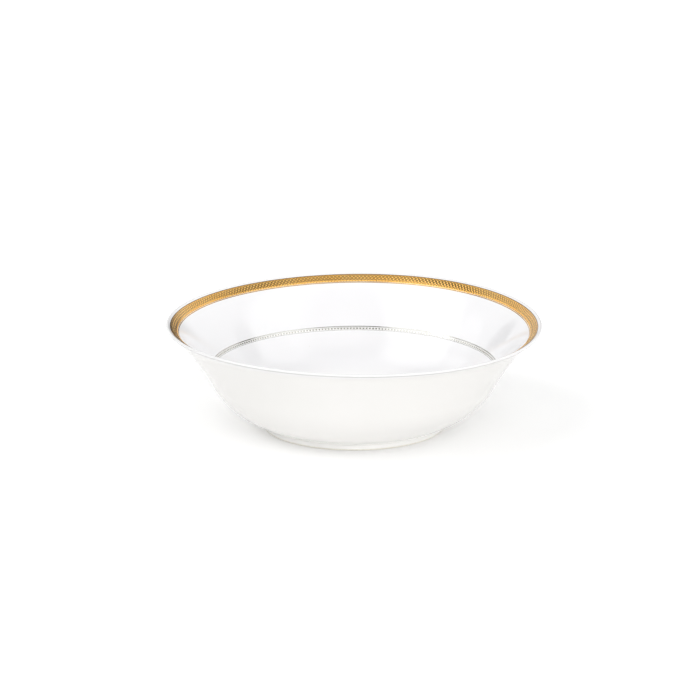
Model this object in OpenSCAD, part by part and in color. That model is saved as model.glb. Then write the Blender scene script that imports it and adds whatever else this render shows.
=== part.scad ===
// Porcelain serving bowl with a flared lip, a gilded rim band and a platinum verge line.
// The bowl is a fired china body. Glaze, gold and platinum lie on it in thin layers.
// Each layer is a separate solid that meets the one below it face to face.
// Origin: centre of the foot ring's tread, on the table. +Z is up. Millimetres.

/* [Bowl] */

// Diameter over the rounded lip
rim_diameter = 250; // [236:1:270]

// Height of the middle of the floor's thickness above the table
floor_height = 4.4; // [4:0.1:6]

// Thickness of the glazed floor in the middle
floor_gauge = 4.2; // [3.8:0.1:4.6]

// Thickness of the glazed wall at its foot
wall_gauge = 4.4; // [3.8:0.1:4.6]

// Thickness of the glazed wall at the lip
lip_gauge = 2.1; // [1.8:0.1:2.6]

/* [Meridian] */

// Run of the nearly flat floor, from the centre outwards
floor_run = 47; // [44:0.5:50]

// Run of the slow bend that lifts the floor into the side
bend_run = 33.5; // [32:0.5:36]

// Run of the quicker bend at the foot of the wall
knee_run = 22.5; // [20:0.5:25]

// Run of the short bend that turns the wall out into the lip
neck_run = 8; // [6:0.5:10]

// Run of the straight end of the lip
lip_run = 2.5; // [2:0.5:4]

// Slope of the floor's edge
floor_slope = 1; // [0:0.5:2]

// Slope at the end of the slow bend
bend_slope = 36.5; // [34:0.5:38]

// Slope at the foot of the wall, its steepest place
wall_slope = 60.5; // [58:0.5:62]

// Slope at the top of the wall, below the neck
shoulder_slope = 46.5; // [44:0.5:50]

// Slope of the flared lip
lip_slope = 34.5; // [30:0.5:38]

/* [Foot ring] */

// Diameter over the foot ring at the table
foot_diameter = 121.5; // [119:0.5:123]

// Width of the foot ring at the table
foot_width = 4.4; // [3.8:0.1:5]

// How much further in the foot ring's outer side stands at its top
foot_taper = 0.6; // [0:0.1:1]

// Radius of the rounding on both edges of the tread
tread_round = 0.8; // [0.5:0.1:1.2]

// Height of the bare, wiped band above the table
bare_height = 1.2; // [1:0.1:1.6]

/* [Glaze] */

// Thickness of the glaze coat
glaze = 0.2; // [0.15:0.05:0.3]

// Width of the glaze pooled in the corners beside the foot ring
pool = 0.8; // [0.5:0.1:1]

/* [Gilded rim] */

// White margin between the end of the lip's slope and the outer hairline
lip_margin = 1; // [0.5:0.1:1.5]

// Width of each rim hairline
hairline = 0.6; // [0.4:0.1:0.8]

// Width of the gold ground band
band_width = 5.9; // [5.5:0.1:6.5]

// White gap between the gold band and the inner hairline
band_gap = 0.2; // [0.15:0.05:0.3]

// Thickness of the gold ground band
gold = 0.05; // [0.03:0.01:0.1]

// Height of the raised lattice above the ground band
relief = 0.2; // [0.1:0.05:0.3]

// Number of lozenges round the lattice
lattice_count = 192; // [120:1:200]

// Lozenges across the lattice
lattice_rows = 2; // [1:1:2]

// Number of beads round the bead row
bead_count = 240; // [160:1:260]

/* [Verge line] */

// Diameter of the platinum verge line, on the inner wall
verge_diameter = 190.4; // [180:0.2:200]

// Number of dentils round the verge line
dentil_count = 276; // [200:1:300]

// Share of the pitch that a dentil fills
dentil_share = 0.5; // [0.3:0.05:0.7]

/* [Hidden] */

$fn = 180;

biscuit_color = [0.95, 0.93, 0.88];
glaze_color = [0.96, 0.96, 0.94];
gold_color = [0.84, 0.62, 0.24];
bronze_color = [0.42, 0.28, 0.1];
platinum_color = [0.62, 0.61, 0.58];

// The straight-line advance of an arc is its length times these two factors.
function across(a, b) = a == b ? cos(a) : (sin(b) - sin(a)) / ((b - a) * PI / 180);
function along(a, b) = a == b ? sin(a) : (cos(a) - cos(b)) / ((b - a) * PI / 180);

// The wall's run is what is left to reach the lip.
other_reach = floor_run * across(0, floor_slope)
    + bend_run * across(floor_slope, bend_slope)
    + knee_run * across(bend_slope, wall_slope)
    + neck_run * across(shoulder_slope, lip_slope)
    + lip_run * cos(lip_slope);
lip_center_radius = rim_diameter / 2 - lip_gauge / 2;
wall_run = (lip_center_radius - other_reach) / across(wall_slope, shoulder_slope);

runs = [floor_run, bend_run, knee_run, wall_run, neck_run, lip_run];
slopes = [0, floor_slope, bend_slope, wall_slope, shoulder_slope, lip_slope, lip_slope];
cuts = [4, 12, 8, 12, 6, 4];

// Distance along the middle line at which each run starts
function start(k) = k == 0 ? 0 : start(k - 1) + runs[k - 1];
reach = start(6);

// Stations on the middle line: distance, radius, height, slope
function station(k, i) =
    let (share = i / cuts[k], a = slopes[k], b = a + (slopes[k + 1] - a) * share)
    let (from = k == 0 ? [0, floor_height] : joint(k))
    [
        start(k) + runs[k] * share,
        from.x + runs[k] * share * across(a, b),
        from.y + runs[k] * share * along(a, b),
        b
    ];
function joint(k) =
    let (s = station(k - 1, cuts[k - 1]))
    [s[1], s[2]];
stations = concat(
    [for (k = [0:5]) for (i = [0:cuts[k] - 1]) station(k, i)],
    [station(5, cuts[5])]
);

// A point on one face at a distance along the middle line. side is 1 inside and -1 outside,
// depth is how far it lies below the glazed face.
function half(s) = lookup(s, [[0, floor_gauge], [start(3), wall_gauge], [reach, lip_gauge]]) / 2;
function shifted(t, side, depth) =
    [t[1], t[2]] + side * (half(t[0]) - depth) * [-sin(t[3]), cos(t[3])];
function face_at(s, side, depth) = [
    lookup(s, [for (t = stations) [t[0], shifted(t, side, depth).x]]),
    lookup(s, [for (t = stations) [t[0], shifted(t, side, depth).y]])
];

// The same face as a run of points from one distance to another
function between(a, b) = [for (t = stations) if (t[0] > a + 0.01 && t[0] < b - 0.01) t[0]];
function face_run(a, b, side, depth) =
    [for (s = concat([a], between(a, b), [b])) face_at(s, side, depth)];
function reversed(v) = [for (i = [len(v) - 1:-1:0]) v[i]];

// Distance at which a face reaches a radius
function distance_at(radius, side, depth) =
    lookup(radius, [for (t = stations) [shifted(t, side, depth).x, t[0]]]);

// Rounded lip, as an arc about the end of the middle line
lip_center = [stations[len(stations) - 1][1], stations[len(stations) - 1][2]];
lip_step = 15;
function lip_arc(from, to, depth) = [
    for (a = [from:(to > from ? lip_step : -lip_step):to])
        lip_center + (lip_gauge / 2 - depth) * [cos(lip_slope + a), sin(lip_slope + a)]
];

// Foot ring: where its two sides meet the body, and its two glazed sides
foot_radius = foot_diameter / 2;
outer_join = distance_at(foot_radius - foot_taper, -1, glaze);
inner_join = distance_at(foot_radius - foot_width + foot_taper, -1, glaze);
outer_top = face_at(outer_join, -1, glaze);
inner_top = face_at(inner_join, -1, glaze);
outer_low = [foot_radius - glaze, bare_height];
inner_low = [foot_radius - foot_width + glaze, bare_height];

// A point on a foot side, a given distance below its top corner
function down_side(top, low, drop) = top + (low - top) * drop / norm(low - top);

module bowl_body() {
    color(biscuit_color)
    rotate_extrude()
    polygon(concat(
        face_run(0, reach, 1, glaze),
        lip_arc(90 - lip_step, -90 + lip_step, glaze),
        reversed(face_run(0, reach, -1, glaze))
    ));
}

module foot_ring() {
    outer_turn = [outer_low.x - tread_round, tread_round];
    inner_turn = [inner_low.x + tread_round, tread_round];
    color(biscuit_color)
    rotate_extrude()
    polygon(concat(
        face_run(inner_join, outer_join, -1, glaze),
        [outer_low],
        [for (a = [0:-22.5:-90]) outer_turn + tread_round * [cos(a), sin(a)]],
        [for (a = [270:-22.5:180]) inner_turn + tread_round * [cos(a), sin(a)]],
        [inner_low]
    ));
}

module inside_glaze() {
    color(glaze_color)
    rotate_extrude()
    polygon(concat(
        face_run(0, reach, 1, glaze),
        lip_arc(90 - lip_step, 0, glaze),
        lip_arc(0, 90 - lip_step, 0),
        reversed(face_run(0, reach, 1, 0))
    ));
}

module outside_glaze() {
    color(glaze_color)
    rotate_extrude()
    polygon(concat(
        face_run(outer_join, reach, -1, glaze),
        lip_arc(-90 + lip_step, 0, glaze),
        lip_arc(0, -90 + lip_step, 0),
        reversed(face_run(outer_join + pool + glaze, reach, -1, 0)),
        [down_side(outer_top, outer_low, pool) + [glaze, 0]],
        [outer_low + [glaze, 0]],
        [outer_low]
    ));
}

module base_glaze() {
    color(glaze_color)
    rotate_extrude()
    polygon(concat(
        face_run(0, inner_join, -1, glaze),
        [inner_low],
        [inner_low - [glaze, 0]],
        [down_side(inner_top, inner_low, pool) - [glaze, 0]],
        reversed(face_run(0, inner_join - pool - glaze, -1, 0))
    ));
}

// A turned layer on the inside face, between two distances and two depths
module inside_layer(a, b, below, above) {
    rotate_extrude()
    polygon(concat(
        face_run(a, b, 1, below),
        reversed(face_run(a, b, 1, above))
    ));
}

// A ring whose top has points that alternate between high and low, like a lattice or beads.
// Its underside lies on the layer below.
module studded_ring(a, b, rows, count, below, low, high) {
    columns = 2 * count;
    marks = concat([a], [for (i = [1:rows - 1]) a + (b - a) * i / rows], [b]);
    top = [
        for (i = [0:rows]) for (j = [0:columns - 1])
            let (edge = i == 0 || i == rows, peak = !edge && (i + j) % 2 == 0)
            let (p = face_at(marks[i], 1, peak ? high : low), turn = j * 360 / columns)
            [p.x * cos(turn), p.x * sin(turn), p.y]
    ];
    seats = concat([a], between(a, b), [b]);
    bottom = [
        for (s = seats) for (j = [0:columns - 1])
            let (p = face_at(s, 1, below), turn = j * 360 / columns)
            [p.x * cos(turn), p.x * sin(turn), p.y]
    ];
    base = len(top);
    last = len(seats) - 1;
    function next(j) = (j + 1) % columns;
    skin = [
        for (i = [0:rows - 1]) for (j = [0:columns - 1])
            let (p = i * columns + j, q = i * columns + next(j))
            let (r = p + columns, t = q + columns)
            for (f = (i + j) % 2 == 0 ? [[p, q, t], [p, t, r]] : [[p, q, r], [q, t, r]]) f
    ];
    seat = [
        for (i = [0:last - 1]) for (j = [0:columns - 1])
            let (p = base + i * columns + j, q = base + i * columns + next(j))
            for (f = [[p, q + columns, q], [p, p + columns, q + columns]]) f
    ];
    inner_edge = [
        for (j = [0:columns - 1])
            for (f = [[j, base + j, base + next(j)], [j, base + next(j), next(j)]]) f
    ];
    outer_edge = [
        for (j = [0:columns - 1])
            let (p = rows * columns, q = base + last * columns)
            for (f = [[p + j, q + next(j), q + j], [p + j, p + next(j), q + next(j)]]) f
    ];
    polyhedron(points = concat(top, bottom), faces = concat(skin, seat, inner_edge, outer_edge));
}

// Distances on the lip, counted back from its end
outer_line_end = reach - lip_margin;
band_end = outer_line_end - hairline;
band_start = band_end - band_width;
inner_line_end = band_start - band_gap;
lattice_border = 0.3;
bead_width = 0.8;

module rim_outer_line() {
    color(bronze_color)
    inside_layer(band_end, outer_line_end, 0, -gold);
}

module rim_gold_band() {
    color(gold_color)
    inside_layer(band_start, band_end, 0, -gold);
}

module rim_gold_lattice() {
    low = -gold - relief / 4;
    color(gold_color)
    studded_ring(band_start + bead_width + 2 * lattice_border, band_end - lattice_border,
        2 * lattice_rows, lattice_count, -gold, low, -gold - relief);
}

module rim_bead_row() {
    low = -gold - relief / 4;
    color(gold_color)
    studded_ring(band_start + lattice_border, band_start + lattice_border + bead_width,
        2, bead_count, -gold, low, -gold - 2 * relief);
}

module rim_inner_line() {
    color(bronze_color)
    inside_layer(inner_line_end - hairline, inner_line_end, 0, -gold);
}

// Distances on the wall, counted up from the middle of the verge line
verge = distance_at(verge_diameter / 2, 1, 0);
upper_line = [0.7, 1.4];
platinum_band = [-0.95, 0.45];
dentil_band = [-0.8, 0.1];
lower_line = [-1.55, -1.25];
dentil_height = 0.15;

module verge_upper_line() {
    color(platinum_color)
    inside_layer(verge + upper_line[0], verge + upper_line[1], 0, -gold);
}

module verge_platinum_band() {
    color(platinum_color)
    inside_layer(verge + platinum_band[0], verge + platinum_band[1], 0, -gold);
}

// Small blocks standing on a thin ring
module verge_dentils() {
    a = verge + dentil_band[0];
    b = verge + dentil_band[1];
    pitch = 360 / dentil_count;
    rails = [
        face_at(a, 1, -gold), face_at(b, 1, -gold),
        face_at(a, 1, -2 * gold), face_at(b, 1, -2 * gold),
        face_at(a, 1, -gold - dentil_height), face_at(b, 1, -gold - dentil_height)
    ];
    size = len(rails);
    points = [
        for (i = [0:dentil_count - 1]) for (turn = [i, i + dentil_share] * pitch) for (p = rails)
            [p.x * cos(turn), p.x * sin(turn), p.y]
    ];
    // m and n are the first points of a block's two ends, o those of the next block
    faces = [
        for (i = [0:dentil_count - 1])
            let (m = 2 * size * i, n = m + size, o = 2 * size * ((i + 1) % dentil_count))
            for (f = [
                [m, m + 1, n + 1, n], [n, n + 1, o + 1, o],
                [m + 4, n + 4, n + 5, m + 5], [n + 2, o + 2, o + 3, n + 3],
                [m + 2, m + 4, m + 5, m + 3], [n + 3, n + 5, n + 4, n + 2],
                [n, o, o + 2, n + 2], [n + 1, n + 3, o + 3, o + 1],
                [m, n, n + 2, n + 4, m + 4, m + 2], [m + 1, m + 3, m + 5, n + 5, n + 3, n + 1]
            ]) f
    ];
    color(platinum_color)
    polyhedron(points = points, faces = faces);
}

module verge_lower_line() {
    color(platinum_color)
    inside_layer(verge + lower_line[0], verge + lower_line[1], 0, -gold);
}

bowl_body();
foot_ring();
inside_glaze();
outside_glaze();
base_glaze();
rim_outer_line();
rim_gold_band();
rim_gold_lattice();
rim_bead_row();
rim_inner_line();
verge_upper_line();
verge_platinum_band();
verge_dentils();
verge_lower_line();
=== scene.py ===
"""A porcelain serving bowl with a gilded lip and a platinum verge line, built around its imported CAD.

Every turned layer of the CAD is read back as a radius and height outline, smoothed and turned again
finely. The gold lattice, the beads and the dentils are modelled on the glazed inside face.
Apart from fine noise, every glaze and metal tone is the same all round. Lengths are in metres.
"""

import math

import bpy
import numpy as np
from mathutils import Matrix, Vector


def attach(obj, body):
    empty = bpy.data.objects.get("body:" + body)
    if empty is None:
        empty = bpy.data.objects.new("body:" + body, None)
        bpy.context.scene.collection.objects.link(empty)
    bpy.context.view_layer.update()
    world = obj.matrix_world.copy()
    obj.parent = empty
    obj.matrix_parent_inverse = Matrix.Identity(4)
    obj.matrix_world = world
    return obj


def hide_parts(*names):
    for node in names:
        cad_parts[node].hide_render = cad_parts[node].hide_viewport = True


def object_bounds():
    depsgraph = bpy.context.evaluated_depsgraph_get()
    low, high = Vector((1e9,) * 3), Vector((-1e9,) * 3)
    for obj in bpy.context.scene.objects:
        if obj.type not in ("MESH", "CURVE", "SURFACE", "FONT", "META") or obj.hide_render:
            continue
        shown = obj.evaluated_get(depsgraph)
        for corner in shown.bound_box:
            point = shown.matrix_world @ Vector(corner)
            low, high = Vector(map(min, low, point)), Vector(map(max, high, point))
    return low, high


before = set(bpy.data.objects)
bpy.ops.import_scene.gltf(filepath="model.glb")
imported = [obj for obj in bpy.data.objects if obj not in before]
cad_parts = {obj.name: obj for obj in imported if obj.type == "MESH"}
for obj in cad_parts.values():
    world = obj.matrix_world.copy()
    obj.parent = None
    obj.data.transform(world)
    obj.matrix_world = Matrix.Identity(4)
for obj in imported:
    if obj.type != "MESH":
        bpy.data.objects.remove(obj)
cad_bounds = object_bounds()

MM = 0.001
ROOT = "root"

# Turned meshes
COLUMNS = 288               # segments round a turned piece
PROFILE_STEP = 1.2 * MM     # longest step along a smoothed outline
SAME_POINT = 0.008 * MM     # two CAD corners nearer than this are one
CORNER = math.radians(55)   # an outline turning more than this keeps its corner
SHARP = math.radians(38)    # faces meeting at more than this are shaded sharp

# Layers of metal on the glaze
SUNK = 0.015 * MM           # how far a metal layer's underside lies in the glaze
FILM = 0.05 * MM            # thickness of a metal film
FILM_EDGE = 0.12 * MM       # width over which a film thins out at its edges
FILM_STEP = 0.4 * MM        # longest mesh step across a film

# Gold lattice: lozenges between crossing ribs, with a pearl in each
LATTICE_COUNT = 300
LATTICE_ROWS = 1.5
LATTICE_CELLS = 8           # mesh cells along and across a lozenge
RIB_HEIGHT = 0.10 * MM
RIB_HALF_WIDTH = 0.08       # share of a lozenge
PEARL_HEIGHT = 0.20 * MM
PEARL_RADIUS = 0.36         # share of a lozenge
WEAVE = 0.25                # how much a rib dips where it passes under

# A faint grey line along both edges of the lip's rounding, the same all round the bowl: painted shade at the
# edges of the rounding
LIP_ROUND = 1.05 * MM       # radius of the rounding
SHADE_LINE_BELOW = math.radians(-38)  # where the lower line lies on the rounding; 0 is outwards
SHADE_LINE_ABOVE = math.radians(76)
SHADE_LINE_SPAN = math.radians(42)
SHADE_LINE_STRENGTH = 0.55        # strength of the lower line
SHADE_LINE_SHARE_ABOVE = 0.5      # strength of the upper line, as a share of the lower one's

# Beads and dentils
BEAD_COUNT = 360
BEAD_CELLS = 8              # mesh cells along a bead
BEAD_ROWS = 6               # mesh cells across a bead
BEAD_HEIGHT = 0.32 * MM
DENTIL_COUNT = 276
DENTIL_SHARE = 0.5          # a dentil's width as a share of the pitch
DENTIL_SHOULDER = 0.5       # where the bevel starts, as a share of the height
DENTIL_HEIGHT = 0.14 * MM
DENTIL_BEVEL = 0.07 * MM

# The lip's outline in the photo isn't quite a level circle's, so the lip is warped to follow it
OVAL = 0.14 * MM
SADDLE = 1.0 * MM
SADDLE_TURN = math.radians(60)
LEAN = 0.4 * MM
LIP_WAVE = 0.08 * MM

# Glazes: a tone and the one it wanders to. Levels are measured from the lip or the table
INSIDE_GLAZE = ((0.826, 0.825, 0.837, 1), (0.818, 0.815, 0.827, 1))
# Painted shade: the outside coat is a darker copy of the inside glaze, so the outside renders less bright
OUTSIDE_GLAZE = ((0.775, 0.766, 0.748, 1), (0.765, 0.756, 0.737, 1))
BASE_GLAZE = ((0.800, 0.792, 0.772, 1), (0.790, 0.780, 0.758, 1))
GLOSS = 0.08                # roughness of the glaze
BASE_GLOSS = 0.10
GLAZE_IOR = 1.52
# Painted shade: a greyer tone at the lip, which tones down how bright the lit lip looks
LIP_PAINTED_SHADE = (0.790, 0.785, 0.785, 1)
LIP_PAINTED_SHADE_STARTS = 4.5 * MM  # below the top of the lip
LIP_PAINTED_SHADE_FULL = 2 * MM
# Painted light: the glaze is lighter towards the foot, to lift its shaded lower side
FOOT_PAINTED_LIGHT = (0.93, 0.922, 0.90, 1)
FOOT_PAINTED_LIGHT_FULL = 4 * MM     # above the table
FOOT_PAINTED_LIGHT_ENDS = 20 * MM
# grey of the painted shade line at the lip's rounding
SHADE_LINE_TONE = (0.16, 0.155, 0.15, 1)
PINHOLE_TONE = (0.62, 0.58, 0.50, 1)
PINHOLE_SHARE = 0.25        # how strongly a pinhole shows

# Bare fired china
BISCUIT = ((0.80, 0.77, 0.70, 1), (0.88, 0.85, 0.79, 1))
TABLE_MARKS = (0.46, 0.44, 0.41, 1)

# Metals: a tone and the one it wanders to, the roughness and how far it spreads, and the tone
# of the recesses where there is relief, which is painted shade with some grime
GOLD_GROUND = dict(bright=(0.95, 0.60, 0.21, 1), deep=(0.92, 0.48, 0.12, 1), roughness=0.10, spread=0.08)
GOLD_RAISED = dict(bright=(1.00, 0.66, 0.25, 1), deep=(1.00, 0.56, 0.14, 1), roughness=0.09, spread=0.07,
                   recess_shade=(0.22, 0.11, 0.025, 1))
OUTER_HAIRLINE = dict(bright=(0.30, 0.18, 0.06, 1), deep=(0.22, 0.13, 0.045, 1), roughness=0.12, spread=0.08)
INNER_HAIRLINE = dict(bright=(0.62, 0.40, 0.13, 1), deep=(0.50, 0.30, 0.09, 1), roughness=0.06, spread=0.05)
PLATINUM_LINE = dict(bright=(0.52, 0.52, 0.49, 1), deep=(0.45, 0.45, 0.42, 1), roughness=0.10, spread=0.06)
PLATINUM_WASH = dict(bright=(0.82, 0.81, 0.78, 1), deep=(0.76, 0.75, 0.72, 1), roughness=0.42, spread=0.10)
PLATINUM_DENTIL = dict(bright=(0.46, 0.46, 0.43, 1), deep=(0.40, 0.40, 0.37, 1), roughness=0.12, spread=0.06,
                       recess_shade=(0.20, 0.20, 0.18, 1))

# Floor
FLOOR_HALF = 4.0
FLOOR_GAP = 0.02 * MM       # how far the floor lies below the foot

# Camera: far away and slightly above the lip
CAMERA_DISTANCE = 5.0
CAMERA_ELEVATION = math.radians(16.2)
CAMERA_TARGET = Vector((-0.0027, 0.0, 0.0518))
VIEW_WIDTH = 0.46667        # width of the view at the bowl
SENSOR_WIDTH = 36.0

# Studio light: azimuth (0 towards the camera, 90 to its right), elevation, outer and inner
# angle of a round soft-edged region, and how much brighter or darker than the dome it is
DOME = 0.76
DARKEST = 0.03
FLOOR_GLOW = 0.045          # the floor is a very faint light table
STUDIO = (
    (18, 16, 54, 16, 1.35),     # key softbox, in front and a little to the right
    (-68, 44, 30, 19, 1.50),    # second softbox, high on the left
    (-84, 36, 12, 8, 0.8),      # its lamp
    (-108, 27, 12, 8, 0.9),     # a small lamp beside it
    (76, 40, 22, 14, 0.90),     # third softbox, on the right
    (-150, 26, 32, 20, 0.30),   # back wall, left part
    (148, 26, 30, 16, 0.35),    # back wall, right part
    (94, 8, 36, 18, 0.30),      # low fill on the right
    (0, 90, 26, 16, 0.20),      # overhead softbox
    (112, 57, 14, 10, -0.3),    # dark corners of the ceiling
    (-112, 58, 13, 9, -0.4),
    (4, 52, 28, 20, -0.70),     # dark gap above the camera
    (104, 28, 10, 7, -1.0),     # dark gaps between the softboxes and the walls
    (-138, 12, 10, 7, -1.0),
    (-98, -2, 32, 20, -0.75),   # flag low on the left
    (168, 2, 24, 12, -0.7),     # dark doorway behind on the right
)


# ---------------------------------------------------------------- CAD outlines

def rings(mesh):
    """Distinct (radius, height) corners of a turned mesh, and which one each vertex is."""
    co = np.array([v.co for v in mesh.vertices], float)
    flat = np.stack([np.hypot(co[:, 0], co[:, 1]), co[:, 2]], axis=1)
    owner = np.full(len(flat), -1)
    corners = []
    while (owner < 0).any():
        seed = flat[np.argmax(owner < 0)]
        near = (np.abs(flat - seed).max(axis=1) < SAME_POINT) & (owner < 0)
        owner[near] = len(corners)
        corners.append(flat[near].mean(axis=0))
    return np.array(corners), owner


def outline(node):
    """The (radius, height) outline of a turned CAD node, in order. It starts on the axis if it can."""
    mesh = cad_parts[node].data
    corners, owner = rings(mesh)
    linked = {i: set() for i in range(len(corners))}
    for edge in mesh.edges:
        a, b = owner[edge.vertices[0]], owner[edge.vertices[1]]
        if a != b:
            linked[a].add(b)
            linked[b].add(a)
    on_axis = [i for i in linked if corners[i][0] < SAME_POINT]
    here = max(on_axis, key=lambda i: corners[i][1]) if on_axis else 0
    order = [here]
    if on_axis:
        for i in on_axis:
            linked[i] -= set(on_axis)
    while True:
        onward = [i for i in linked[here] if i not in order]
        if not onward:
            break
        here = min(onward, key=lambda i: np.linalg.norm(corners[i] - corners[here]))
        order.append(here)
    return corners[order], bool(on_axis)


def turning(a, b, c):
    """Angle between the directions a to b and b to c."""
    u, v = b - a, c - b
    return abs(math.atan2(u[0] * v[1] - u[1] * v[0], float(u @ v)))


def spline(run, step):
    """Points at most a step apart on a smooth curve through a run of points."""
    if len(run) < 3:
        pieces = max(1, math.ceil(np.linalg.norm(run[-1] - run[0]) / step))
        return np.linspace(run[0], run[-1], pieces + 1)
    ends = np.vstack([2 * run[0] - run[1], run, 2 * run[-1] - run[-2]])
    points = [run[0]]
    for p0, p1, p2, p3 in zip(ends[:-3], ends[1:-2], ends[2:-1], ends[3:]):
        knots = np.cumsum([0.0] + [math.sqrt(np.linalg.norm(d)) for d in (p1 - p0, p2 - p1, p3 - p2)])
        pieces = max(2, math.ceil(np.linalg.norm(p2 - p1) / step))
        for share in np.arange(1, pieces + 1) / pieces:
            t = knots[1] + (knots[2] - knots[1]) * share
            level = [p0, p1, p2, p3]
            for width in (1, 2, 3):
                level = [
                    mix_points(level[i], level[i + 1], knots, t, i, width)
                    for i in range(4 - width)
                ]
            points.append(level[0])
    return np.array(points)


def mix_points(a, b, knots, t, i, width):
    """One step of the pyramid that evaluates a centripetal Catmull-Rom curve."""
    low, high = (i, i + width) if width < 3 else (1, 2)
    share = (t - knots[low]) / (knots[high] - knots[low])
    return a + (b - a) * share


def smoothed(points, open_ended, step=PROFILE_STEP):
    """A finer outline: smooth where the corners are slight, and sharp where they aren't."""
    count = len(points)
    inner = range(1, count - 1) if open_ended else range(count)
    sharp = [i for i in inner if turning(points[i - 1], points[i], points[(i + 1) % count]) > CORNER]
    if open_ended:
        stops = [0] + sharp + [count - 1]
        runs = [points[a:b + 1] for a, b in zip(stops[:-1], stops[1:])]
    else:
        first = sharp[0]
        turned = np.roll(points, -first, axis=0)
        stops = [i - first for i in sharp] + [count]
        closed = np.vstack([turned, turned[:1]])
        runs = [closed[a:b + 1] for a, b in zip(stops[:-1], stops[1:])]
    pieces = [spline(run, step)[:-1] for run in runs]
    if open_ended:
        pieces.append(points[-1:])
    return np.vstack(pieces)


# ---------------------------------------------------------------- meshes

def unevenness(co):
    """The slight warp of a fired bowl. The foot stays flat on the table."""
    low, high = cad_bounds
    radius = np.hypot(co[:, 0], co[:, 1])
    turn = np.arctan2(co[:, 1], co[:, 0])
    rise = np.clip((co[:, 2] - low[2]) / (high[2] - low[2]), 0, 1) ** 2
    reach = high[0]
    wider = OVAL * rise * np.cos(2 * turn + 0.7)
    wave = LIP_WAVE * (np.sin(3 * turn + 0.4) + 0.6 * np.sin(5 * turn + 2.1))
    lift = rise * (SADDLE * np.cos(2 * (turn - SADDLE_TURN)) - LEAN * np.cos(turn) + wave)
    scale = 1 + wider / np.maximum(radius, reach / 10)
    return np.stack([co[:, 0] * scale, co[:, 1] * scale, co[:, 2] + lift], axis=1)


def make_piece(name, co, faces, node, material):
    """An object of the bowl that rides on its body and stands for a CAD node."""
    co = unevenness(np.asarray(co, float))
    mesh = bpy.data.meshes.new(name)
    mesh.from_pydata(co.tolist(), [], faces)
    mesh.update()
    if signed_volume(mesh) < 0:
        mesh.flip_normals()
    mesh.shade_smooth()
    mesh.set_sharp_from_angle(angle=SHARP)
    mesh.materials.append(material)
    piece = bpy.data.objects.new(name, mesh)
    bpy.context.scene.collection.objects.link(piece)
    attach(piece, ROOT)
    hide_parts(node)
    return piece


def signed_volume(mesh):
    mesh.calc_loop_triangles()
    tri = np.array([t.vertices[:] for t in mesh.loop_triangles])
    co = np.array([v.co for v in mesh.vertices], float)
    a, b, c = co[tri[:, 0]], co[tri[:, 1]], co[tri[:, 2]]
    return float(np.einsum("ij,ij->i", a, np.cross(b, c)).sum())


def spun(flat, turn):
    """Points in space from (radius, height) pairs and turns."""
    radius, height, turn = np.broadcast_arrays(flat[..., 0], flat[..., 1], turn)
    return np.stack([radius * np.cos(turn), radius * np.sin(turn), height], axis=-1)


def ring_faces(columns, rows, first=0):
    """Quads of a grid that closes both ways."""
    quads = []
    for j in range(columns):
        here, there = first + j * rows, first + (j + 1) % columns * rows
        for i in range(rows):
            k = (i + 1) % rows
            quads.append((here + i, there + i, there + k, here + k))
    return quads


def turned_piece(node, material, name, thin_edge=False):
    """A CAD node's outline, smoothed and turned finely."""
    points, open_ended = outline(node)
    section = smoothed(points, open_ended)
    turns = np.arange(COLUMNS) / COLUMNS * 2 * math.pi
    if not open_ended:
        grid = spun(section[None, :, :], turns[:, None])
        faces = ring_faces(COLUMNS, len(section))
        piece = make_piece(name, grid.reshape(-1, 3), faces, node, material)
        # the painted shade line along the lip's rounding, kept on each point for the material
        if thin_edge:
            store(piece, "thin", np.tile(SHADE_LINE_STRENGTH * thin_place(section), COLUMNS))
        return piece
    body = section[1:-1]
    rows = len(body)
    grid = spun(body[None, :, :], turns[:, None]).reshape(-1, 3)
    poles = [[0, 0, section[0][1]], [0, 0, section[-1][1]]]
    top, bottom = len(grid), len(grid) + 1
    faces = []
    for j in range(COLUMNS):
        here, there = j * rows, (j + 1) % COLUMNS * rows
        faces.append((top, there, here))
        faces.append((bottom, here + rows - 1, there + rows - 1))
        faces += [(here + i, there + i, there + i + 1, here + i + 1) for i in range(rows - 1)]
    return make_piece(name, np.vstack([grid, poles]), faces, node, material)


def thin_place(section):
    """How much of the painted shade line lies at each point of a section: both edges of the lip's rounding.
    """
    reach, top = cad_bounds[1][0], cad_bounds[1][2]
    offset = section - (reach - LIP_ROUND, top - LIP_ROUND)
    at = np.arctan2(offset[:, 1], offset[:, 0])
    below = np.clip(1 - np.abs(at - SHADE_LINE_BELOW) / SHADE_LINE_SPAN, 0, 1)
    above = np.clip(1 - np.abs(at - SHADE_LINE_ABOVE) / SHADE_LINE_SPAN, 0, 1) * SHADE_LINE_SHARE_ABOVE
    return (below + above) * (np.linalg.norm(offset, axis=1) < 1.5 * LIP_ROUND)


def store(piece, name, values):
    """Keeps a number for each point, for the material."""
    attribute = piece.data.attributes.new(name, "FLOAT", "POINT")
    attribute.data.foreach_set("value", np.ravel(values).astype(np.float32))


# ---------------------------------------------------------------- the glazed inside face

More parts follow.
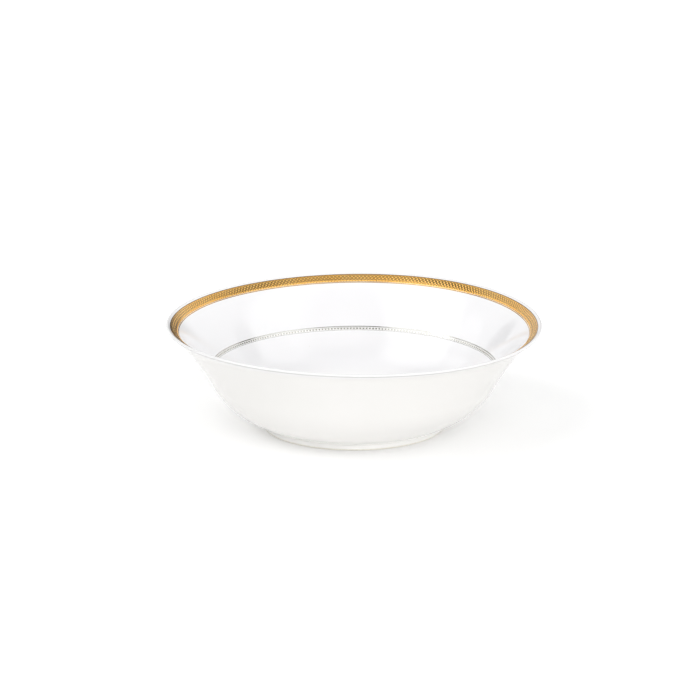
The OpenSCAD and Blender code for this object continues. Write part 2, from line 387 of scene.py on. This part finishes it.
class InsideFace:
    """The smooth inside face of the glaze, from the centre to the crest of the lip."""

    def __init__(self):
        points, open_ended = outline("inside_glaze")
        section = smoothed(points, open_ended)
        self.flat = section[:int(np.argmax(section[:, 1])) + 1]
        steps = np.linalg.norm(np.diff(self.flat, axis=0), axis=1)
        self.along = np.concatenate([[0], np.cumsum(steps)])
        tangent = np.gradient(self.flat, self.along, axis=0)
        tangent /= np.linalg.norm(tangent, axis=1)[:, None]
        self.normal = np.stack([-tangent[:, 1], tangent[:, 0]], axis=1)

    def at(self, distance, height):
        """(radius, height) of points that far along the face and that high above it."""
        distance, height = np.broadcast_arrays(distance, height)
        foot = [np.interp(distance, self.along, self.flat[:, k]) for k in (0, 1)]
        up = [np.interp(distance, self.along, self.normal[:, k]) for k in (0, 1)]
        return np.stack([foot[k] + height * up[k] for k in (0, 1)], axis=-1)

    def extent(self, node):
        """The nearest and furthest distance along the face that a CAD node on it covers."""
        corners, _ = rings(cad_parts[node].data)
        gaps = np.linalg.norm(corners[:, None, :] - self.flat[None, :, :], axis=2)
        nearest = np.argmin(gaps, axis=1)
        offset = corners - self.flat[nearest]
        tangent = np.stack([self.normal[nearest][:, 1], -self.normal[nearest][:, 0]], axis=1)
        distances = self.along[nearest] + np.einsum("ij,ij->i", offset, tangent)
        return float(distances.min()), float(distances.max())


def film(face, node, material, name):
    """A metal film that follows the inside face and tapers off at its edges."""
    start, end = face.extent(node)
    inner = min(FILM_EDGE, (end - start) / 3)
    across = np.concatenate([
        [start, start + inner / 3],
        np.linspace(start + inner, end - inner, max(2, int((end - start) / FILM_STEP))),
        [end - inner / 3, end],
    ])
    edge = np.minimum(across - start, end - across) / inner
    top = face.at(across, FILM * np.sqrt(np.clip(edge, 0, 1)))
    under = face.at(across[::-1], -SUNK)
    section = np.vstack([top, under])
    turns = np.arange(COLUMNS) / COLUMNS * 2 * math.pi
    grid = spun(section[None, :, :], turns[:, None])
    return make_piece(name, grid.reshape(-1, 3), ring_faces(COLUMNS, len(section)), node, material)


def relief_ring(face, node, material, name, columns, rows, height_at):
    """A raised ring whose top follows height_at(turn share, across share)."""
    start, end = face.extent(node)
    turn_share = np.arange(columns) / columns
    across_share = np.linspace(0, 1, rows + 1)
    raised = height_at(turn_share[:, None], across_share[None, :])
    distance = start + (end - start) * across_share
    top = face.at(np.broadcast_to(distance, raised.shape), FILM + raised)
    under = np.broadcast_to(face.at(distance[[-1, 0]], FILM - SUNK), (columns, 2, 2))
    sections = np.concatenate([top, under], axis=1)
    grid = spun(sections, (turn_share * 2 * math.pi)[:, None])
    faces = ring_faces(columns, sections.shape[1])
    piece = make_piece(name, grid.reshape(-1, 3), faces, node, material)
    # how high each point stands, for the painted shade in the low parts
    store(piece, "relief", np.concatenate([raised / raised.max(), np.zeros((columns, 2))], axis=1))
    return piece


def dome(distance, radius):
    """A round profile: 1 in the middle, 0 from the radius outwards."""
    return np.sqrt(np.clip(1 - (distance / radius) ** 2, 0, 1))


def lattice_height(turn_share, across_share):
    """Two families of crossing ribs that pass over and under each other, and a pearl in each lozenge."""
    u = turn_share * LATTICE_COUNT
    v = across_share * LATTICE_ROWS
    falling, rising = u + v, u - v
    off_falling = np.abs(falling - np.round(falling))
    off_rising = np.abs(rising - np.round(rising))
    over = np.cos(math.pi * (np.round(falling) + rising))
    under = np.cos(math.pi * (falling + np.round(rising)))
    ribs = np.maximum(
        dome(off_falling, RIB_HALF_WIDTH) * (1 - WEAVE * (0.5 - 0.5 * over)),
        dome(off_rising, RIB_HALF_WIDTH) * (1 - WEAVE * (0.5 + 0.5 * under)),
    )
    to_middle = np.hypot(0.5 - off_falling, 0.5 - off_rising)
    pearls = dome(to_middle, PEARL_RADIUS)
    edge = np.clip(np.minimum(across_share, 1 - across_share) * LATTICE_ROWS * LATTICE_CELLS, 0, 1)
    return np.maximum(RIB_HEIGHT * ribs, PEARL_HEIGHT * pearls) * edge


def bead_height(turn_share, across_share):
    """A row of round beads that nearly touch."""
    along = turn_share * BEAD_COUNT
    off_along = np.abs(along - np.round(along)) * 2
    off_across = np.abs(across_share - 0.5) * 2
    return BEAD_HEIGHT * dome(np.hypot(off_along, off_across), 1.0)


def dentil_row(face, node, material, name):
    """Small bevelled blocks on a narrow ring."""
    start, end = face.extent(node)
    pitch = 2 * math.pi / DENTIL_COUNT
    radius = float(face.at(start, 0.0)[0])
    bevel_turn = DENTIL_BEVEL / radius
    half = pitch * DENTIL_SHARE / 2
    levels = [(0.0, FILM - SUNK), (0.0, FILM + DENTIL_HEIGHT * DENTIL_SHOULDER), (1.0, FILM + DENTIL_HEIGHT)]
    shells = []
    for inset, height in levels:
        low, high = start + inset * DENTIL_BEVEL, end - inset * DENTIL_BEVEL
        wide = half - inset * bevel_turn
        shells.append([
            (low, height, -wide), (high, height, -wide), (high, height, wide), (low, height, wide),
        ])
    block = np.array(shells).reshape(-1, 3)
    flat = face.at(block[:, 0], block[:, 1])
    co, faces = [], []
    for k in range(DENTIL_COUNT):
        base = len(block) * k
        co.append(spun(flat, block[:, 2] + k * pitch))
        faces.append(tuple(base + i for i in (3, 2, 1, 0)))
        faces.append(tuple(base + i for i in (8, 9, 10, 11)))
        for layer in (0, 4):
            for i in range(4):
                j = (i + 1) % 4
                faces.append(tuple(base + layer + i for i in (i, j, j + 4, i + 4)))
    piece = make_piece(name, np.vstack(co), faces, node, material)
    # the foot of each dentil is low, so it takes the painted shade of the recesses
    store(piece, "relief", np.tile(np.repeat([0.0, 0.6, 1.0], 4), DENTIL_COUNT))
    return piece


# ---------------------------------------------------------------- materials

def new_material(name):
    material = bpy.data.materials.new(name)
    material.use_nodes = True
    tree = material.node_tree
    return material, tree, tree.nodes["Principled BSDF"]


def add(tree, kind, settings=None, **inputs):
    """Adds a shader node. Inputs are values, or sockets to link."""
    made = tree.nodes.new("ShaderNode" + kind)
    for key, value in (settings or {}).items():
        setattr(made, key, value)
    for key, value in inputs.items():
        put(tree, made.inputs[key.replace("_", " ")], value)
    return made


def put(tree, socket, value):
    if isinstance(value, bpy.types.NodeSocket):
        tree.links.new(value, socket)
    else:
        socket.default_value = value


def place(tree):
    return add(tree, "TexCoord").outputs["Object"]


def noise(tree, vector, scale, detail=2.0, roughness=0.5, distortion=0.0):
    made = add(tree, "TexNoise", Vector=vector, Scale=scale, Detail=detail, Roughness=roughness,
               Distortion=distortion)
    return made.outputs["Fac"]


def remap(tree, value, low, high, to_low, to_high, smooth=True):
    settings = {"interpolation_type": "SMOOTHSTEP" if smooth else "LINEAR"}
    made = add(tree, "MapRange", settings, Value=value, From_Min=low, From_Max=high,
               To_Min=to_low, To_Max=to_high)
    return made.outputs["Result"]


def blend_color(tree, factor, a, b):
    made = add(tree, "Mix", {"data_type": "RGBA"})
    put(tree, made.inputs[0], factor)
    put(tree, made.inputs[6], a)
    put(tree, made.inputs[7], b)
    return made.outputs[2]


def math_node(tree, operation, a, b=0.0):
    made = add(tree, "Math", {"operation": operation})
    put(tree, made.inputs[0], a)
    put(tree, made.inputs[1], b)
    return made.outputs[0]


def bump(tree, height, distance, strength=1.0, normal=None):
    made = add(tree, "Bump", Height=height, Distance=distance, Strength=strength)
    if normal is not None:
        put(tree, made.inputs["Normal"], normal)
    return made.outputs["Normal"]


def height_of(tree, vector):
    return add(tree, "SeparateXYZ", Vector=vector).outputs["Z"]


def glaze_material(name, color, tint, roughness):
    """Glossy china: a painted greyer shade at the lip, painted light towards the foot, a painted grey shade
    line at the lip's rounding, a very slight ripple and rare pinholes.
    """
    material, tree, shader = new_material(name)
    at = place(tree)
    low, high = cad_bounds[0][2], cad_bounds[1][2]
    broad = noise(tree, at, 14.0, 1.0)
    base = blend_color(tree, remap(tree, broad, 0.35, 0.65, 0.0, 1.0), color, tint)
    # painted shade: a greyer tone towards the lip
    painted_lip_shade = remap(tree, height_of(tree, at), high - LIP_PAINTED_SHADE_STARTS, high - LIP_PAINTED_SHADE_FULL, 0.0, 1.0)
    base = blend_color(tree, painted_lip_shade, base, LIP_PAINTED_SHADE)
    # painted light: lighter glaze towards the foot
    painted_foot_light = remap(tree, height_of(tree, at), low + FOOT_PAINTED_LIGHT_FULL, low + FOOT_PAINTED_LIGHT_ENDS, 1.0, 0.0)
    base = blend_color(tree, painted_foot_light, base, FOOT_PAINTED_LIGHT)
    pits = add(tree, "TexVoronoi", Vector=at, Scale=110.0).outputs["Distance"]
    rare = remap(tree, noise(tree, at, 23.0, 0.0), 0.60, 0.66, 0.0, 1.0)
    pinhole = math_node(tree, "MULTIPLY", remap(tree, pits, 0.02, 0.06, 1.0, 0.0), rare)
    base = blend_color(tree, math_node(tree, "MULTIPLY", pinhole, PINHOLE_SHARE), base, PINHOLE_TONE)
    # painted shade: a grey line along both edges of the lip's rounding
    thin = add(tree, "Attribute", {"attribute_name": "thin"}).outputs["Fac"]
    base = blend_color(tree, thin, base, SHADE_LINE_TONE)
    put(tree, shader.inputs["Base Color"], base)
    sheen = noise(tree, at, 60.0, 3.0)
    put(tree, shader.inputs["Roughness"], remap(tree, sheen, 0.3, 0.7, roughness, roughness + 0.05))
    shader.inputs["IOR"].default_value = GLAZE_IOR
    ripple = bump(tree, noise(tree, at, 120.0, 2.0, 0.45), 0.02 * MM, 0.35)
    put(tree, shader.inputs["Normal"], bump(tree, pinhole, 0.03 * MM, -0.5, ripple))
    return material


def biscuit_material():
    """Bare fired china: matt, slightly sandy, with grey marks from standing on tables."""
    material, tree, shader = new_material("china_biscuit")
    at = place(tree)
    grain = noise(tree, at, 900.0, 6.0, 0.65)
    base = blend_color(tree, remap(tree, grain, 0.3, 0.7, 0.0, 1.0), *BISCUIT)
    rubbed = noise(tree, at, 70.0, 5.0, 0.7, 1.5)
    marks = math_node(tree, "MULTIPLY", remap(tree, rubbed, 0.56, 0.70, 0.0, 0.6),
                      remap(tree, height_of(tree, at), 0.1 * MM, 0.5 * MM, 1.0, 0.0))
    base = blend_color(tree, marks, base, TABLE_MARKS)
    put(tree, shader.inputs["Base Color"], base)
    put(tree, shader.inputs["Roughness"], remap(tree, grain, 0.3, 0.7, 0.62, 0.85))
    put(tree, shader.inputs["Normal"], bump(tree, grain, 0.05 * MM, 0.5))
    return material


def metal_material(name, bright, deep, roughness, spread, recess_shade=None):
    """Fired metal, burnished round the bowl: fine streaks, patches, and darker recesses in relief, which are
    painted shade with some grime.
    """
    material, tree, shader = new_material(name)
    at = place(tree)
    parts = add(tree, "SeparateXYZ", Vector=at).outputs
    radius = math_node(tree, "SQRT", math_node(
        tree, "ADD", math_node(tree, "MULTIPLY", parts["X"], parts["X"]),
        math_node(tree, "MULTIPLY", parts["Y"], parts["Y"])))
    turn = math_node(tree, "ARCTAN2", parts["Y"], parts["X"])
    around = add(tree, "CombineXYZ", X=math_node(tree, "MULTIPLY", radius, 40.0),
                 Y=math_node(tree, "MULTIPLY", parts["Z"], 40.0),
                 Z=math_node(tree, "MULTIPLY", turn, 0.12)).outputs[0]
    streaks = noise(tree, around, 60.0, 4.0, 0.6)
    patches = noise(tree, at, 45.0, 4.0, 0.6, 0.5)
    base = blend_color(tree, remap(tree, patches, 0.3, 0.7, 0.25, 0.75), bright, deep)
    rough = remap(tree, streaks, 0.3, 0.7, roughness, roughness + spread)
    if recess_shade:
        # painted shade: darker and rougher where the relief is low
        level = add(tree, "Attribute", {"attribute_name": "relief"}).outputs["Fac"]
        base = blend_color(tree, remap(tree, level, 0.0, 0.55, 1.0, 0.0), base, recess_shade)
        rough = math_node(tree, "ADD", rough, remap(tree, level, 0.1, 0.9, 0.05, 0.0))
    put(tree, shader.inputs["Base Color"], base)
    put(tree, shader.inputs["Roughness"], rough)
    shader.inputs["Metallic"].default_value = 1.0
    fine = bump(tree, streaks, 0.004 * MM, 0.4)
    put(tree, shader.inputs["Normal"], bump(tree, patches, 0.01 * MM, 0.3, fine))
    return material


def floor_material():
    material, tree, shader = new_material("studio_floor")
    at = place(tree)
    paper = noise(tree, at, 900.0, 3.0)
    base = blend_color(tree, paper, (0.96, 0.96, 0.96, 1), (0.98, 0.98, 0.98, 1))
    put(tree, shader.inputs["Base Color"], base)
    shader.inputs["Roughness"].default_value = 0.9
    shader.inputs["Emission Color"].default_value = (1, 1, 1, 1)
    shader.inputs["Emission Strength"].default_value = FLOOR_GLOW
    shader.inputs["Specular IOR Level"].default_value = 0.1
    return material


# ---------------------------------------------------------------- the bowl

def build_bowl():
    china = biscuit_material()
    inside = glaze_material("glaze_inside", *INSIDE_GLAZE, GLOSS)
    outside = glaze_material("glaze_outside", *OUTSIDE_GLAZE, GLOSS)
    base = glaze_material("glaze_base", *BASE_GLAZE, BASE_GLOSS)
    turned_piece("bowl_body", china, "fired_body")
    turned_piece("foot_ring", china, "fired_foot")
    # the inside and outside coats carry the painted shade line at the lip
    turned_piece("inside_glaze", inside, "inner_glaze_coat", thin_edge=True)
    turned_piece("outside_glaze", outside, "outer_glaze_coat", thin_edge=True)
    turned_piece("base_glaze", base, "recess_glaze_coat")


def build_rim(face):
    gold = metal_material("gold_ground", **GOLD_GROUND)
    raised = metal_material("gold_raised", **GOLD_RAISED)
    outer = metal_material("gold_outer_hairline", **OUTER_HAIRLINE)
    inner = metal_material("gold_inner_hairline", **INNER_HAIRLINE)
    film(face, "rim_gold_band", gold, "gold_ground_band")
    film(face, "rim_outer_line", outer, "outer_hairline")
    film(face, "rim_inner_line", inner, "inner_hairline")
    relief_ring(face, "rim_gold_lattice", raised, "gold_lattice",
                LATTICE_COUNT * LATTICE_CELLS, int(LATTICE_ROWS * LATTICE_CELLS), lattice_height)
    relief_ring(face, "rim_bead_row", raised, "gold_beads",
                BEAD_COUNT * BEAD_CELLS, BEAD_ROWS, bead_height)


def build_verge(face):
    platinum = metal_material("platinum_line", **PLATINUM_LINE)
    ground = metal_material("platinum_wash", **PLATINUM_WASH)
    blocks = metal_material("platinum_dentil", **PLATINUM_DENTIL)
    film(face, "verge_upper_line", platinum, "verge_top_line")
    film(face, "verge_platinum_band", ground, "verge_ground")
    film(face, "verge_lower_line", platinum, "verge_bottom_line")
    dentil_row(face, "verge_dentils", blocks, "verge_dentil_row")


# ---------------------------------------------------------------- studio

def build_floor():
    height = cad_bounds[0][2] - FLOOR_GAP
    mesh = bpy.data.meshes.new("floor")
    corners = [
        (x * FLOOR_HALF, y * FLOOR_HALF, height)
        for x, y in ((-1, -1), (1, -1), (1, 1), (-1, 1))
    ]
    mesh.from_pydata(corners, [], [(0, 1, 2, 3)])
    mesh.materials.append(floor_material())
    floor = bpy.data.objects.new("floor", mesh)
    bpy.context.scene.collection.objects.link(floor)


def direction(azimuth, elevation):
    """A unit vector. Azimuth 0 is towards the camera and 90 to its right; both are in degrees."""
    a, e = math.radians(azimuth), math.radians(elevation)
    return Vector((math.sin(a) * math.cos(e), -math.cos(a) * math.cos(e), math.sin(e)))


def build_world():
    """A white studio: an even dome with softboxes, a back wall and the dark gaps between them."""
    world = bpy.data.worlds.new("studio")
    bpy.context.scene.world = world
    world.use_nodes = True
    tree = world.node_tree
    at = add(tree, "TexCoord").outputs["Generated"]
    total = DOME
    for azimuth, elevation, outer, inner, strength in STUDIO:
        near = add(tree, "VectorMath", {"operation": "DOT_PRODUCT"})
        put(tree, near.inputs[0], at)
        near.inputs[1].default_value = direction(azimuth, elevation)
        share = remap(tree, near.outputs["Value"], math.cos(math.radians(outer)),
                      math.cos(math.radians(inner)), 0.0, strength)
        total = math_node(tree, "ADD", share, total)
    total = math_node(tree, "MAXIMUM", total, DARKEST)
    background = tree.nodes["Background"]
    background.inputs["Color"].default_value = (1, 1, 1, 1)
    put(tree, background.inputs["Strength"], total)


def build_camera():
    camera = bpy.data.cameras.new("camera")
    camera.sensor_width = SENSOR_WIDTH
    camera.lens = SENSOR_WIDTH * CAMERA_DISTANCE / VIEW_WIDTH
    camera.clip_end = 4 * CAMERA_DISTANCE
    holder = bpy.data.objects.new("camera", camera)
    toward = direction(0, math.degrees(CAMERA_ELEVATION))
    holder.location = CAMERA_TARGET + toward * CAMERA_DISTANCE
    holder.rotation_euler = toward.to_track_quat("Z", "Y").to_euler()
    bpy.context.scene.collection.objects.link(holder)
    bpy.context.scene.camera = holder


build_bowl()
inside_face = InsideFace()
build_rim(inside_face)
build_verge(inside_face)
build_floor()
build_world()
build_camera()
bpy.context.scene.view_settings.view_transform = "Standard"
